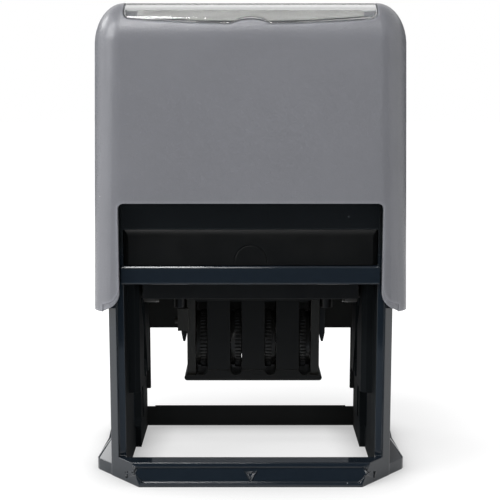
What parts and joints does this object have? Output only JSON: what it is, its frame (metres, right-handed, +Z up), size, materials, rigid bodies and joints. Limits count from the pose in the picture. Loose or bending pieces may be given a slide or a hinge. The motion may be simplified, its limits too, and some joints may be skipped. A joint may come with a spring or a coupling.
{
  "type": "self-inking date stamp",
  "caption": "Self-inking date stamp: rounded press cap on a foot frame, pad drawer, and a flip-over print unit with date bands and thumb wheels.",
  "frame": {"origin": "on the table under the middle of the foot", "axes": "+Z up, -Y is the front with the pad drawer, +X to the right seen from the front"},
  "size_m": [0.0848, 0.0634, 0.1266],
  "materials": {
    "frame_plastic": "polished navy-black moulding",
    "drawer_plastic": "fine matt grain",
    "pad_felt": "ink-soaked felt",
    "cap_plastic": "satin grey moulding",
    "bracket_steel": "black painted sheet steel",
    "card_paper": "uncoated card",
    "clear_plastic": "clear polished plastic",
    "spring_steel": "drawn wire",
    "unit_plastic": "black moulding",
    "plate_plastic": "light grey moulding",
    "cushion_foam": "soft foam",
    "die_rubber": "laser-cut rubber",
    "guard_plastic": "polished black moulding",
    "wheel_plastic": "black moulding with a serrated rim",
    "band_rubber": "moulded rubber band"
  },
  "bodies": {
    "frame": {"base_frame": "frame_plastic", "return_spring_left": "spring_steel", "return_spring_right": "spring_steel"},
    "cap": {"cap_shell": "cap_plastic", "press_bracket": "bracket_steel", "index_card": "card_paper"},
    "window_cover": {"index_window": "clear_plastic"},
    "ink_pad": {"ink_pad_tray": "drawer_plastic", "ink_pad_felt": "pad_felt"},
    "print_unit": {"swivel_frame": "unit_plastic", "die_plate": "plate_plastic", "die_foam": "cushion_foam", "text_rubber": "die_rubber", "band_bridge": "unit_plastic", "left_cheek": "unit_plastic", "right_cheek": "unit_plastic", "wheel_axle": "spring_steel", "finger_guard": "guard_plastic", "detent_spring": "spring_steel", "month_band": "band_rubber", "day_tens_band": "band_rubber", "day_units_band": "band_rubber", "year_band": "band_rubber"},
    "month_dial": {"month_wheel": "wheel_plastic"},
    "day_tens_dial": {"day_tens_wheel": "wheel_plastic"},
    "day_units_dial": {"day_units_wheel": "wheel_plastic"},
    "year_dial": {"year_wheel": "wheel_plastic"}
  },
  "joints": [
    {"name": "cap_press", "type": "slide", "parent": "frame", "child": "cap", "axis": [0, 0, 1], "range_m": [-0.039, 0], "stiffness_N_per_m": 250, "springref_m": 0.02, "deforming": ["return_spring_left", "return_spring_right"]},
    {"name": "print_flip", "type": "hinge", "parent": "cap", "child": "print_unit", "pos_m": [0, 0, 0.048], "axis": [-1, 0, 0], "range_deg": [0, 180]},
    {"name": "ink_pad_pull", "type": "slide", "parent": "frame", "child": "ink_pad", "axis": [0, -1, 0], "range_m": [0, 0.044]},
    {"name": "window_lift", "type": "slide", "parent": "cap", "child": "window_cover", "axis": [0, 0, 1], "range_m": [0, 0.012]},
    {"name": "month_turn", "type": "hinge", "parent": "print_unit", "child": "month_dial", "pos_m": [0, 0, 0.0332], "axis": [1, 0, 0], "continuous": true},
    {"name": "day_tens_turn", "type": "hinge", "parent": "print_unit", "child": "day_tens_dial", "pos_m": [0, 0, 0.0332], "axis": [1, 0, 0], "continuous": true},
    {"name": "day_units_turn", "type": "hinge", "parent": "print_unit", "child": "day_units_dial", "pos_m": [0, 0, 0.0332], "axis": [1, 0, 0], "continuous": true},
    {"name": "year_turn", "type": "hinge", "parent": "print_unit", "child": "year_dial", "pos_m": [0, 0, 0.0332], "axis": [1, 0, 0], "continuous": true}
  ],
  "couplings": [
    {"joint": "print_flip", "follows": "cap_press", "rad_per_m": -80.55}
  ]
}
